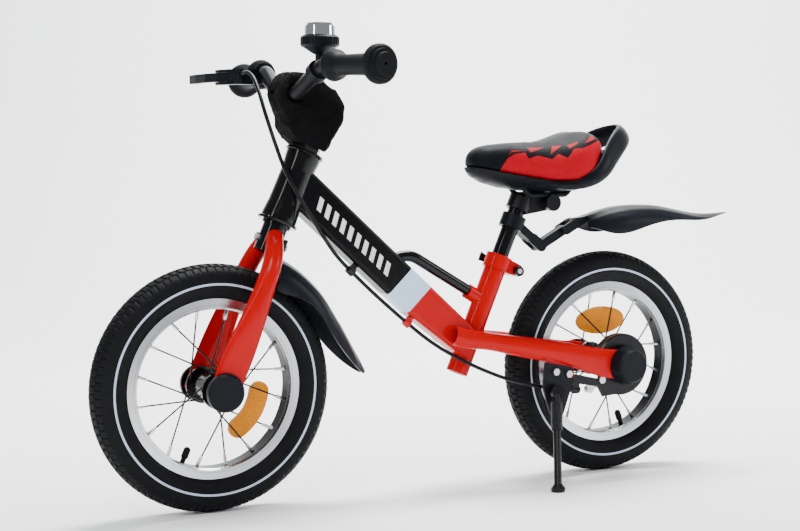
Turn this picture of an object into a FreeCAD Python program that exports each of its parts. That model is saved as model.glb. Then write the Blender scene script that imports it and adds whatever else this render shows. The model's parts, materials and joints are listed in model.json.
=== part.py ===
"""Child's balance bike with a band brake, kickstand, bell and two mudguards.

Every piece is drawn on the upright bike and then leaned over onto its kickstand.
Millimetres.  X runs from the front hub towards the rear, Z is up, and the bike's
left side is at -Y.  The front hub's centre is at X = 0 before the final move.
"""
import FreeCAD, Part
import math
import os

V = FreeCAD.Vector

# Driving dimensions
WHEELBASE = 560.0
TYRE_RADIUS = 149.0
TYRE_HALF_WIDTH = 23.0
TREAD_HALF_WIDTH = 19.0
TREAD_DROP = 8.0
RIM_RADIUS = 108.0
RIM_HALF_WIDTH = 12.9
RIM_WELL_RADIUS = 95.0
HEAD_TILT = math.radians(23.6)
SEAT_TILT = math.radians(23.2)
LEAN_DEG = 3.0
LEAN = math.radians(LEAN_DEG)

AXLE_RADIUS = 5.0
AXLE_HOLE_RADIUS = 5.2
BEARING_RADIUS = 12.0
FIT = 0.05                    # radial clearance of a running fit

STEERER_RADIUS = 12.7
QUILL_RADIUS = 11.0
CROWN_RADIUS = 15.5
HEAD_TUBE_LOW = 216.0         # distances up the steering axis from the front hub
HEAD_TUBE_HIGH = 303.0
HEAD_LIP = 3.6
HEAD_TUBE_BORE = 17.0

DOWN_TUBE_HALF_WIDTH = 16.0
DOWN_TUBE_CORNER = 6.0
TUBE_WALL = 1.6

SEAT_TUBE_RADIUS = 14.3
SEAT_POST_RADIUS = 11.1
SEAT_TUBE_FOOT = V(334.8, 0, 145.5)
SEAT_TUBE_LENGTH = 159.0

BAR_RADIUS = 9.5
CABLE_RADIUS = 2.5

FRONT_HUB = V(0, 0, TYRE_RADIUS)
REAR_HUB = V(WHEELBASE, 0, TYRE_RADIUS)

STEER_UP = V(math.sin(HEAD_TILT), 0, math.cos(HEAD_TILT))
STEER_AHEAD = V(-math.cos(HEAD_TILT), 0, math.sin(HEAD_TILT))
SEAT_UP = V(math.sin(SEAT_TILT), 0, math.cos(SEAT_TILT))
SEAT_AHEAD = V(-math.cos(SEAT_TILT), 0, math.sin(SEAT_TILT))
FLOOR_UP = V(0, math.sin(LEAN), math.cos(LEAN))
TREAD_ARC = (TREAD_HALF_WIDTH ** 2 + TREAD_DROP ** 2) / (2 * TREAD_DROP)
FLOOR_LEVEL = -TREAD_ARC * (1 - math.cos(LEAN))


# Shape helpers

def steer(up, side=0.0, ahead=0.0):
    """A point given along, beside and ahead of the steering axis."""
    return FRONT_HUB + STEER_UP * up + STEER_AHEAD * ahead + V(0, side, 0)


def seat(up, side=0.0, ahead=0.0):
    """A point given along, beside and ahead of the seat tube's axis."""
    return SEAT_TUBE_FOOT + SEAT_UP * up + SEAT_AHEAD * ahead + V(0, side, 0)


def rod(start, end, radius):
    span = end - start
    return Part.makeCylinder(radius, span.Length, start, span)


def ring(start, end, outer, inner):
    return rod(start, end, outer).cut(rod(start, end, inner))


def cross_rod(x, z, y_low, y_high, radius):
    return rod(V(x, y_low, z), V(x, y_high, z), radius)


def hex_bar(start, end, across_flats):
    """A hexagonal bar between two points."""
    span = end - start
    corner = across_flats / math.sqrt(3)
    angles = [k * math.pi / 3 for k in range(7)]
    corners = [V(corner * math.cos(angle), corner * math.sin(angle), 0) for angle in angles]
    bar = Part.Face(Part.makePolygon(corners)).extrude(V(0, 0, span.Length))
    bar.Placement = FreeCAD.Placement(start, FreeCAD.Rotation(V(0, 0, 1), span))
    return bar


def turned(profile, base, direction):
    """Turn (distance, radius) points about an axis from base along direction."""
    corners = [V(radius, 0, along) for along, radius in profile]
    face = Part.Face(Part.makePolygon(corners + corners[:1]))
    solid = face.revolve(V(0, 0, 0), V(0, 0, 1), 360)
    solid.Placement = FreeCAD.Placement(base, FreeCAD.Rotation(V(0, 0, 1), direction))
    return solid


def side_face(outline, y):
    corners = [V(x, y, z) for x, z in outline]
    return Part.Face(Part.makePolygon(corners + corners[:1]))


def slab(outline, y_low, y_high):
    """A flat plate whose (x, z) outline runs from y_low to y_high."""
    return side_face(outline, y_low).extrude(V(0, y_high - y_low, 0))


def strap(start, end, radius, y_low, y_high):
    """A round-ended plate between two (x, z) points."""
    run = V(end[0] - start[0], 0, end[1] - start[1])
    wide = V(-run.z, 0, run.x).normalize() * radius
    corners = [(start[0] + wide.x, start[1] + wide.z), (end[0] + wide.x, end[1] + wide.z),
               (end[0] - wide.x, end[1] - wide.z), (start[0] - wide.x, start[1] - wide.z)]
    ends = [cross_rod(x, z, y_low, y_high, radius) for x, z in (start, end)]
    return slab(corners, y_low, y_high).multiFuse(ends).removeSplitter()


def bent_path(points, radii):
    """Straight runs through the points, joined by tangent arcs."""
    edges = []
    start = points[0]
    for before, corner, after, radius in zip(points, points[1:], points[2:], radii):
        back = (before - corner).normalize()
        forth = (after - corner).normalize()
        half = back.getAngle(forth) / 2
        inward = (back + forth).normalize()
        centre = corner + inward * (radius / math.sin(half))
        reach = radius / math.tan(half)
        edges.append(Part.LineSegment(start, corner + back * reach).toShape())
        start = corner + forth * reach
        edges.append(Part.Arc(corner + back * reach, centre - inward * radius, start).toShape())
    edges.append(Part.LineSegment(start, points[-1]).toShape())
    return Part.Wire(edges)


def swept(path, radius):
    """A round bar along a path."""
    first = path.Edges[0]
    begin = first.FirstParameter
    circle = Part.makeCircle(radius, first.valueAt(begin), first.tangentAt(begin))
    return path.makePipeShell([Part.Wire(circle)], True, False)


def oval(centre, across, through):
    return Part.Wire(Part.Ellipse(centre + across, centre + through, centre).toShape())


def mirrored(shape):
    return shape.mirror(V(0, 0, 0), V(0, 1, 0))


def both_sides(shape):
    return Part.makeCompound([shape, mirrored(shape)])


# Wheels

def tyre():
    """A pneumatic tyre with open beads, turned about the wheel axis."""
    bead, foot, shoulder = 11.3, 104.0, RIM_RADIUS + 0.3
    wall = 3.2
    tread_edge = TYRE_RADIUS - TREAD_DROP

    def point(y, radius):
        return V(0, y, radius)

    def side_curves(foot_y, shoulder_radius, side_y, side_radius, edge_y, edge_radius, top_radius):
        """Bead, side wall and tread of one skin, from the left foot to the right one."""
        left, right = point(-edge_y, edge_radius), point(edge_y, edge_radius)
        left_shoulder, right_shoulder = point(-foot_y, shoulder_radius), point(foot_y, shoulder_radius)
        return [Part.LineSegment(point(-foot_y, foot), left_shoulder),
                Part.Arc(left_shoulder, point(-side_y, side_radius), left),
                Part.Arc(left, point(0, top_radius), right),
                Part.Arc(right, point(side_y, side_radius), right_shoulder),
                Part.LineSegment(right_shoulder, point(foot_y, foot))]

    outside = side_curves(bead, shoulder, TYRE_HALF_WIDTH, 125.5, TREAD_HALF_WIDTH, tread_edge,
                          TYRE_RADIUS)
    inside = side_curves(bead - wall, foot + 6, TYRE_HALF_WIDTH - wall, 124.5, TREAD_HALF_WIDTH - wall,
                         tread_edge - wall / 2, TYRE_RADIUS - wall - 1.5)
    feet = [Part.LineSegment(point(side * bead, foot), point(side * (bead - wall), foot))
            for side in (-1, 1)]
    edges = [curve.toShape() for curve in outside + inside + feet]
    section = Part.Wire(Part.sortEdges(edges)[0])
    return Part.Face(section).revolve(V(0, 0, 0), V(0, 1, 0), 360)


def inner_tube(valve_angle):
    """The air tube with the valve that stands on it."""
    centre_radius, tube_radius, rubber = 125.5, 15.0, 1.3
    torus = Part.makeTorus(centre_radius, tube_radius, V(0, 0, 0), V(0, 1, 0))
    air = Part.makeTorus(centre_radius, tube_radius - rubber, V(0, 0, 0), V(0, 1, 0))
    outward = V(math.cos(valve_angle), 0, math.sin(valve_angle))
    stem = rod(outward * 111, outward * 82, 3.0)
    cap = rod(outward * 89, outward * 79.5, 4.3)
    tip = Part.makeSphere(4.3, outward * 79.5)
    return torus.fuse([stem, cap, tip]).cut(air)


def rim(valve_angle, flange):
    """An alloy rim with a drop well, and holes for the valve and the nipples."""
    wall, step = 1.5, 3.9
    lip = RIM_HALF_WIDTH
    well = RIM_WELL_RADIUS
    profile = [(-lip, RIM_RADIUS), (-lip, well + 2.5), (-lip + step, well), (lip - step, well),
               (lip, well + 2.5), (lip, RIM_RADIUS), (lip - wall, RIM_RADIUS), (lip - wall, well + 4.3),
               (lip - step - 0.6, well + 1.8), (step + 0.6 - lip, well + 1.8), (wall - lip, well + 4.3),
               (wall - lip, RIM_RADIUS)]
    hoop = turned(profile, V(0, 0, 0), V(0, 1, 0))
    outward = V(math.cos(valve_angle), 0, math.sin(valve_angle))
    nipple_holes = [rod(end - run * 8, end + run * 2, NIPPLE_RADIUS + FIT)
                    for _, end, run in spoke_runs(flange)]
    return hoop.cut(rod(outward * 90, outward * 104, 3.6)).cut(Part.makeCompound(nipple_holes))


SPOKES = 16
SPOKE_PHASE = math.radians(10)
SPOKE_CROSS = math.radians(55)
SPOKE_HOLE_CIRCLE = 19.4
SPOKE_RADIUS = 1.0
NIPPLE_RADIUS = 2.1
NIPPLE_TOP = 98.0


def spoke_hub_angle(index):
    """Where a spoke leaves its flange: pairs lean forwards and backwards in turn."""
    lean = 1 if index % 4 in (0, 3) else -1
    return SPOKE_PHASE + index * 2 * math.pi / SPOKES + lean * SPOKE_CROSS


def spoke_runs(flange):
    """Where each spoke starts inside its flange, where its nipple ends, and its direction."""
    runs = []
    for index in range(SPOKES):
        side = -1 if index % 2 else 1
        at_rim = SPOKE_PHASE + index * 2 * math.pi / SPOKES
        at_hub = spoke_hub_angle(index)
        hole_x, hole_z = SPOKE_HOLE_CIRCLE * math.cos(at_hub), SPOKE_HOLE_CIRCLE * math.sin(at_hub)
        start = V(hole_x, side * (flange[0] - 1.2), hole_z)
        end = V(NIPPLE_TOP * math.cos(at_rim), 0, NIPPLE_TOP * math.sin(at_rim))
        runs.append((start, end, (end - start).normalize()))
    return runs


def spokes(flange):
    """Sixteen headed spokes, each with its nipple, from two flanges to the rim."""
    pieces = []
    for start, end, run in spoke_runs(flange):
        side = math.copysign(1, start.y)
        outer = V(start.x, side * (flange[1] + 1.2), start.z)
        elbow = Part.makeSphere(SPOKE_RADIUS, start)
        head = rod(outer, outer - V(0, side * 1.1, 0), 1.9)
        nipple = rod(end - run * 15.5, end, NIPPLE_RADIUS)
        wire = rod(start, end - run * 9, SPOKE_RADIUS)
        pieces.append(wire.fuse([rod(start, outer, SPOKE_RADIUS), elbow, head, nipple]).removeSplitter())
    return Part.makeCompound(pieces)


def hub(flange, end, barrel):
    """A flanged hub shell with a bearing seat in each end."""
    flange_inner, flange_outer = flange
    seat_depth, flange_radius, boss, bore = 8.0, 22.5, 15.0, 9.0
    half = [(end - seat_depth, bore), (end - seat_depth, BEARING_RADIUS), (end, BEARING_RADIUS),
            (end, boss), (flange_outer, boss), (flange_outer, flange_radius),
            (flange_inner, flange_radius), (flange_inner, barrel)]
    profile = half + [(-along, radius) for along, radius in reversed(half)]
    shell = turned(profile, V(0, 0, 0), V(0, 1, 0))
    for index in range(SPOKES):
        side = -1 if index % 2 else 1
        angle = spoke_hub_angle(index)
        x, z = SPOKE_HOLE_CIRCLE * math.cos(angle), SPOKE_HOLE_CIRCLE * math.sin(angle)
        low, high = sorted((side * (flange_inner - 1), side * (flange_outer + 1)))
        shell = shell.cut(cross_rod(x, z, low, high, SPOKE_RADIUS + 0.25))
    return shell


def bearings(end):
    """Two sealed bearings, pressed into the hub and running on the axle."""
    one = ring(V(0, end - 8, 0), V(0, end, 0), BEARING_RADIUS - FIT, AXLE_RADIUS + FIT)
    return both_sides(one)


def kidney_reflector():
    """A curved spoke reflector that follows the rim."""
    inner, outer, thickness = 48.0, 73.0, 2.2
    first, last = math.radians(-57), math.radians(-8)
    middle = (first + last) / 2

    def point(radius, angle):
        return V(radius * math.cos(angle), -thickness, radius * math.sin(angle))

    centre = (inner + outer) / 2
    cap = (outer - inner) / 2 / centre
    edges = [Part.Arc(point(outer, first), point(outer, middle), point(outer, last)),
             Part.Arc(point(outer, last), point(centre, last + cap), point(inner, last)),
             Part.Arc(point(inner, last), point(inner, middle), point(inner, first)),
             Part.Arc(point(inner, first), point(centre, first - cap), point(outer, first))]
    return Part.Face(Part.Wire([edge.toShape() for edge in edges])).extrude(V(0, 2 * thickness, 0))


def oval_reflector():
    """An oval spoke reflector above the hub."""
    thickness = 2.2
    centre = V(-3, -thickness, 55)
    face = Part.Face(oval(centre, V(38, 0, 1.3), V(-0.6, 0, 18.5)))
    return face.extrude(V(0, 2 * thickness, 0))


def wheel(name, centre, valve_deg, reflector, flange, end, barrel):
    """All the pieces that turn with one wheel."""
    valve_angle = math.radians(valve_deg)
    pieces = {"tyre": tyre(), "inner_tube": inner_tube(valve_angle), "rim": rim(valve_angle, flange),
              "spokes": spokes(flange), "hub": hub(flange, end, barrel),
              "bearings": bearings(end), "reflector": reflector}
    return {f"{name}_{piece}": shape.translated(centre) for piece, shape in pieces.items()}


# Frame

def head_tube_form(bore):
    low, high = HEAD_TUBE_LOW, HEAD_TUBE_HIGH
    profile = [(low, bore), (low, 22.4), (low + 6, 22.2), (low + 22, 20.4), (high - 22, 19.8),
               (high - 5, 21.6), (high, 21.8), (high, bore)]
    return turned(profile, FRONT_HUB, STEER_UP)


DOWN_TUBE_OUTLINE = [(116.6, 415.9), (357.8, 200.9), (340.0, 164.8), (258.0, 227.0), (96.8, 370.5)]


def box_tube(outline, half_width, corner):
    """A square tube form whose long edges are rounded."""
    form = slab(outline, -half_width, half_width)
    long_edges = [edge for edge in form.Edges
                  if abs(edge.Vertexes[0].Y - edge.Vertexes[-1].Y) < 0.1 and edge.Length > 60]
    return form.makeFillet(corner, long_edges)


def down_tube_form():
    return box_tube(DOWN_TUBE_OUTLINE, DOWN_TUBE_HALF_WIDTH, DOWN_TUBE_CORNER)


def down_tube_hollow():
    top_front, top_rear, low_rear, low_bend, low_front = DOWN_TUBE_OUTLINE
    drop = TUBE_WALL * 1.34
    outline = [(top_front[0], top_front[1] - drop), (top_rear[0], top_rear[1] - drop),
               (low_rear[0], low_rear[1] + drop), (low_bend[0], low_bend[1] + drop),
               (low_front[0], low_front[1] + drop)]
    return box_tube(outline, DOWN_TUBE_HALF_WIDTH - TUBE_WALL, DOWN_TUBE_CORNER - TUBE_WALL)


def seat_tube_form():
    return rod(seat(0), seat(SEAT_TUBE_LENGTH), SEAT_TUBE_RADIUS)


STAY_INNER = 54.0             # side positions of the flattened stay ends
STAY_OUTER = 59.0
BRACE_RADIUS = 7.25
BRACE_ROUTE = [V(226, 0, 287), V(263, 0, 303.5), V(376, 0, 237.5)]


def brace_form():
    return swept(bent_path(BRACE_ROUTE, [34]), BRACE_RADIUS)


def oval_loft(sections, wall):
    """An oval bar through (point, fore-aft way, side way, depth, width) sections.

    With a wall, it is the hollow inside the bar's round part.
    """
    if wall:
        sections = [section for section in sections if section[4] > 8 * wall]
    wires = [oval(point, up * (depth / 2 - wall), side * (width / 2 - wall))
             for point, up, side, depth, width in sections]
    return Part.makeLoft(wires, True, False)


def chain_stay_form(wall):
    """The left stay: round at the front, pressed flat where it holds the axle."""
    # x, side, z, depth and width of each oval section
    stations = [(318, 24.5, 198, 23, 21.5), (350, 28.5, 190.5, 24, 21.5), (400, 39.5, 181.5, 26, 21),
                (447, 48.0, 173, 29, 18), (485, 53.3, 164.5, 31, 12), (518, 56.2, 155.5, 36.5, 7),
                (541, 56.5, 151.5, 38.5, 6.4), (573, 56.5, 148.5, 36, 6.4)]
    points = [V(x, -y, z) for x, y, z, _, _ in stations]
    sections = []
    for index, (point, station) in enumerate(zip(points, stations)):
        along = points[min(index + 1, len(points) - 1)] - points[max(index - 1, 0)]
        up = V(-along.z, 0, along.x).normalize()
        side = along.cross(up).normalize()
        sections.append((point, up, side, station[3], station[4]))
    return oval_loft(sections, wall)


def chain_stays():
    """Both stays, with the left one's kickstand tab."""
    keep_clear = down_tube_form().fuse(seat_tube_form())
    axle_hole = cross_rod(WHEELBASE, TYRE_RADIUS, -70, 70, AXLE_HOLE_RADIUS)
    stay = chain_stay_form(0).cut(chain_stay_form(TUBE_WALL)).cut(keep_clear).cut(axle_hole)
    for low, high, radius in ((-STAY_INNER, -40, 13), (-70, -STAY_OUTER, 27)):
        stay = stay.cut(cross_rod(WHEELBASE, TYRE_RADIUS, low, high, radius))
    tab = slab([(436, 172), (480, 165), (480, 137), (440, 139)], -54.4, -50.6)
    bolt_holes = [cross_rod(x, z, -60, -45, 3.2) for x, z in KICKSTAND_BOLTS]
    left = stay.fuse(tab).removeSplitter().cut(Part.makeCompound(bolt_holes))
    return Part.makeCompound([left, mirrored(stay)])


def frame_tubes():
    head_core = rod(steer(HEAD_TUBE_LOW), steer(HEAD_TUBE_HIGH), HEAD_TUBE_BORE)
    head_form = head_tube_form(1.0).fuse(head_core)
    seat_form = seat_tube_form()
    down_form = down_tube_form()
    brace = brace_form()
    down = down_form.cut(down_tube_hollow()).cut(head_form).cut(seat_form).cut(brace)
    boss = rod(V(350, 0, 251.5), V(372, 0, 238.8), BRACE_RADIUS + 2.6)
    slot = slab([(388, 255), (440, 250), (440, 310), (402, 320)], -1.2, 1.2)
    bore = rod(seat(-1), seat(SEAT_TUBE_LENGTH + 1), SEAT_POST_RADIUS + 2 * FIT)
    seat_piece = seat_form.fuse(boss).cut(brace).cut(bore).cut(slot)
    return {"head_tube": head_tube_form(HEAD_TUBE_BORE), "down_tube": down, "seat_tube": seat_piece,
            "chain_stays": chain_stays(), "frame_brace": brace.cut(down_form).cut(seat_form)}


def headset():
    """Pressed cups, ball rings, and the locknut that holds the fork up."""
    wall, depth = 1.0, 9.0
    low, high = HEAD_TUBE_LOW, HEAD_TUBE_HIGH
    cup_bore = HEAD_TUBE_BORE - wall
    press = HEAD_TUBE_BORE - FIT
    lower = [(low - HEAD_LIP, cup_bore), (low - HEAD_LIP, 24.6), (low - 0.8, 25.4), (low, 24.6),
             (low, press), (low + depth, press), (low + depth, cup_bore)]
    upper = [(high + HEAD_LIP, cup_bore), (high + HEAD_LIP, 23.2), (high + 0.8, 24.4), (high, 23.6),
             (high, press), (high - depth, press), (high - depth, cup_bore)]
    cups = [turned(profile, FRONT_HUB, STEER_UP) for profile in (lower, upper)]
    balls = [ring(steer(start), steer(start + 6), cup_bore - FIT, STEERER_RADIUS + FIT)
             for start in (low, high - 6)]
    nut_low, nut_high = high + HEAD_LIP + 0.4, high + HEAD_LIP + 9
    locknut = hex_bar(steer(nut_low), steer(nut_high), 32)
    locknut = locknut.cut(rod(steer(nut_low - 1), steer(nut_high + 1), STEERER_RADIUS + FIT))
    bolt = crown_bolt(3.0).fuse(hex_bar(steer(CROWN_BOLT, 0, 15.6), steer(CROWN_BOLT, 0, 19.6), 9))
    bolt = bolt.fuse(hex_bar(steer(CROWN_BOLT, 0, -19.1), steer(CROWN_BOLT, 0, -23), 9)).removeSplitter()
    return {"headset_cups": Part.makeCompound(cups), "headset_bearings": Part.makeCompound(balls),
            "steering_fasteners": Part.makeCompound([locknut, bolt])}


# Fork and handlebar

CROWN_BOLT = 189.0


def crown_bolt(radius):
    """The bolt from front to back through the crown that holds the mudguard."""
    return rod(steer(CROWN_BOLT, 0, 17), steer(CROWN_BOLT, 0, -21), radius)


LEG_INNER, LEG_OUTER = 39.5, 44.6
CROWN_LOW, CROWN_HIGH = 175.0, HEAD_TUBE_LOW - HEAD_LIP - 0.4
STEERER_TOP = 322.0


def fork_crown():
    """The crown socket and the steerer tube in one piece."""
    crown = rod(steer(CROWN_LOW), steer(CROWN_HIGH), CROWN_RADIUS)
    race = rod(steer(CROWN_HIGH - 3.5), steer(CROWN_HIGH), 18.0)
    steerer = rod(steer(CROWN_HIGH), steer(STEERER_TOP), STEERER_RADIUS)
    bore = rod(steer(CROWN_LOW - 1), steer(STEERER_TOP + 1), QUILL_RADIUS + 2 * FIT)
    return crown.fuse([race, steerer]).removeSplitter().cut(bore).cut(crown_bolt(3.1))


def fork_leg_form(wall):
    """The left leg: it curves out of the crown and is pressed flat at the axle."""
    # distance up the axis, side, depth and width of each oval section
    stations = [(197, 7, 22.2, 22), (184, 20, 22.4, 22), (166, 32.5, 23.2, 22.8), (140, 39.6, 24, 23),
                (110, 42.5, 28, 20.5), (72, 43.5, 34.5, 14), (42, 42.4, 38, 9), (20, 42.05, 37.5, 6.6),
                (-11, 42.05, 35, 6.4)]
    points = [steer(up, -side) for up, side, _, _ in stations]
    sections = []
    for index, (point, station) in enumerate(zip(points, stations)):
        along = points[min(index + 1, len(points) - 1)] - points[max(index - 1, 0)]
        thin = along.cross(STEER_AHEAD).normalize()
        sections.append((point, STEER_AHEAD, thin, station[2], station[3]))
    return oval_loft(sections, wall)


def fork_legs():
    socket = rod(steer(CROWN_LOW - 60), steer(CROWN_HIGH), CROWN_RADIUS)
    axle_hole = cross_rod(0, TYRE_RADIUS, -60, 0, AXLE_HOLE_RADIUS)
    leg = fork_leg_form(0).cut(fork_leg_form(TUBE_WALL)).cut(socket).cut(axle_hole)
    leg = leg.cut(cross_rod(0, TYRE_RADIUS, -LEG_INNER, -30, 12))
    return both_sides(leg.cut(cross_rod(0, TYRE_RADIUS, -60, -LEG_OUTER, 24)))


BAR_ROUTE = [V(125.1, -212, 525.4), V(108, -88, 530), V(100, -30, 500), V(100, 30, 500), V(108, 88, 530),
             V(125.1, 212, 525.4)]
BAR_BENDS = [28, 28, 28, 28]
BAR_END = (BAR_ROUTE[0] - BAR_ROUTE[1]).normalize()


def bar_form(clearance):
    return swept(bent_path(BAR_ROUTE, BAR_BENDS), BAR_RADIUS + clearance)


def stem():
    """A quill stem: post, forward arm and the clamp round the bar."""
    bar_centre = V(100, 0, 500)
    quill = rod(steer(252), steer(STEERER_TOP + 0.3), QUILL_RADIUS)
    post = rod(steer(STEERER_TOP + 0.3), steer(372), 12.6)
    arm = rod(steer(363), bar_centre, 10.5)
    clamp = rod(bar_centre - V(0, 17, 0), bar_centre + V(0, 17, 0), 15.0)
    bolt = hex_bar(steer(371), steer(376), 10)
    return quill.fuse([post, arm, clamp, bolt]).removeSplitter().cut(bar_form(FIT))


def handlebar():
    return bar_form(0).cut(bar_form(-TUBE_WALL))


def handlebar_pad():
    """A soft sleeve over the stem and the middle of the bar."""
    outline = [(84, 512), (94, 526), (112, 528), (138, 517), (158, 503), (168, 487), (165, 468),
               (156, 451), (141, 427), (104, 442.7), (97, 449), (90, 460), (91, 474), (84, 484), (80, 498)]
    block = slab(outline, -27, 27)
    corners = [edge for edge in block.Edges if abs(edge.Vertexes[0].Y - edge.Vertexes[-1].Y) < 0.1]
    block = block.makeChamfer(5, corners)
    gap = 0.8
    centre = V(100, 0, 500)
    hollow = bar_form(gap).fuse([rod(steer(305), steer(380), 19), rod(steer(363), centre, 10.5 + gap),
                                 rod(centre - V(0, 19, 0), centre + V(0, 19, 0), 15 + gap)])
    return block.cut(hollow)


def grips():
    """Two rubber grips with a ball collar inside and a wide flange outside."""
    start = BAR_ROUTE[1] + BAR_END * 17
    profile = [(0, BAR_RADIUS + FIT), (0, 13.5), (2.5, 17.2), (7, 19), (12, 18), (17, 14.5), (22, 12.4),
               (40, 12), (86, 12.6), (91, 15), (94.5, 20.5), (97.5, 22.5), (102, 22.5), (105, 20),
               (105.5, 17.5), (108.5, 17), (109, 13.5), (112, 12.5), (112, 1.8), (108.8, 1.8),
               (108.8, BAR_RADIUS + FIT)]
    return both_sides(turned(profile, start, BAR_END))


def bell():
    """A twist bell: clamp and stud, knurled ring, and a chrome dome."""
    foot = BAR_ROUTE[2] + (BAR_ROUTE[1] - BAR_ROUTE[2]) * 0.77
    along = (BAR_ROUTE[1] - BAR_ROUTE[2]).normalize()
    band = rod(foot - along * 5, foot + along * 5, 13.0)
    centre = V(foot.x + 3.6, foot.y, 0)
    up = V(0, 0, 1)
    stand = turned([(foot.z + 5, 0), (foot.z + 5, 5.6), (543, 5.6), (544.5, 9), (551.5, 19.5),
                    (551.5, 0)], centre, up)
    stud = rod(centre + up * 551, centre + up * 579.5, 4.0)
    clamp = band.fuse([stand, stud]).removeSplitter().cut(bar_form(FIT))
    knurls, ring_low, ring_high = 32, 551.9, 565.2
    grip_ring = turned([(ring_low, 4.1), (ring_low, 21), (ring_low + 2, 23), (ring_high - 2.5, 23),
                        (ring_high, 20.5), (ring_high, 4.1)], centre, up)
    for index in range(knurls):
        angle = index * 2 * math.pi / knurls
        groove = centre + V(23.4 * math.cos(angle), 23.4 * math.sin(angle), ring_low + 2)
        grip_ring = grip_ring.cut(rod(groove, groove + up * 8.6, 1.1))
    low = ring_high + 0.4
    dome = turned([(low, 17.4), (low, 18.6), (low + 10.5, 18), (low + 14, 15.6), (low + 16, 10.5),
                   (low + 16.8, 4.1), (low + 15.6, 4.1), (low + 14.7, 10), (low + 12.9, 14.6),
                   (low + 9.9, 16.8)], centre, up)
    return {"bell_clamp": clamp, "bell_ring": grip_ring, "bell_dome": dome}


LEVER_PIVOT = V(72, 108, 525)


def brake_lever_parts():
    """The right-hand lever blade and the bracket that it turns in."""
    clamp_centre = V(BAR_ROUTE[4].x, BAR_ROUTE[4].y, BAR_ROUTE[4].z) + mirrored_direction(BAR_END) * 12
    along = mirrored_direction(BAR_END)
    band = rod(clamp_centre - along * 4, clamp_centre + along * 4.2, 13.2)
    plan = [(104, 95), (104, 101), (90, 105), (84, 111), (77, 116), (70, 128), (65, 137), (57, 134),
            (58, 122), (64, 106), (68, 99), (78, 93)]
    low, high = 515.5, 534.5
    corners = [V(x, y, low) for x, y in plan]
    body = Part.Face(Part.makePolygon(corners + corners[:1])).extrude(V(0, 0, high - low))
    slot = [V(x, y, 518.8) for x, y in [(50, 99), (84, 103), (84, 140), (50, 140)]]
    mouth = Part.Face(Part.makePolygon(slot + slot[:1])).extrude(V(0, 0, 12.4))
    pin = rod(V(LEVER_PIVOT.x, LEVER_PIVOT.y, low + 1), V(LEVER_PIVOT.x, LEVER_PIVOT.y, high - 1), 2.5)
    adjuster = rod(V(76, 97, 528), V(76, 90, 528), 4.2)
    cable_seat = rod(V(76, 99, 528), V(76, 85, 528), CABLE_RADIUS + 0.2)
    bracket = body.fuse([band, adjuster]).cut(mouth).fuse(pin).cut(bar_form(FIT)).cut(cable_seat)
    blade_plan = [(77, 104), (79.5, 110), (74, 117), (64, 131), (57, 155), (53.5, 180), (55, 200),
                  (50.5, 205.5), (45.5, 200), (46, 178), (49, 150), (56, 125), (65.5, 108), (70, 103)]
    corners = [V(x, y, 519.4) for x, y in blade_plan]
    blade = Part.Face(Part.makePolygon(corners + corners[:1])).extrude(V(0, 0, 11.2))
    rim_edges = [edge for edge in blade.Edges if abs(edge.Vertexes[0].Z - edge.Vertexes[-1].Z) > 5]
    blade = blade.makeFillet(1.2, rim_edges)
    pivot_hole = rod(V(LEVER_PIVOT.x, LEVER_PIVOT.y, 515), V(LEVER_PIVOT.x, LEVER_PIVOT.y, 535),
                     2.5 + FIT)
    return {"brake_lever_bracket": bracket, "brake_lever": blade.cut(pivot_hole)}


def mirrored_direction(direction):
    return V(direction.x, -direction.y, direction.z)


# Mudguards

def arch_loft(stations, thickness):
    """A thin arched shell; each station is crown x, z, edge x, z and half width."""
    sections = []
    for crown_x, crown_z, edge_x, edge_z, half in stations:
        inward = V(edge_x - crown_x, 0, edge_z - crown_z).normalize() * thickness
        crown_in = V(crown_x, 0, crown_z) + inward
        left, right = V(edge_x, -half, edge_z), V(edge_x, half, edge_z)
        left_in, right_in = V(edge_x, thickness - half, edge_z), V(edge_x, half - thickness, edge_z)
        edges = [Part.Arc(left, V(crown_x, 0, crown_z), right), Part.LineSegment(right, right_in),
                 Part.Arc(right_in, crown_in, left_in), Part.LineSegment(left_in, left)]
        sections.append(Part.Wire([edge.toShape() for edge in edges]))
    return Part.makeLoft(sections, True, False)


def front_mudguard():
    stations = [(85, 303, 73, 266, 27), (107, 290, 94, 257, 31), (125, 275, 112, 250, 32),
                (143, 255, 128, 236, 32), (155, 237, 139, 220, 31), (170, 213, 153, 198, 29),
                (183, 191, 168, 180, 25), (195, 171, 184, 164.5, 17), (203, 157, 198, 154.3, 7)]
    shell = arch_loft(stations, 2.2)
    back = [steer(up, 0, ahead) for up, ahead in ((172, -16), (198, -16), (198, -19), (172, -19))]
    tab = slab([(point.x, point.z) for point in back], -9, 9)
    return shell.fuse(tab).removeSplitter().cut(crown_bolt(3.1))


LINK_JOINT = (458.0, 307.0)
GUARD_JOINT = (511.0, 336.0)
PIN_RADIUS = 3.0


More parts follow.
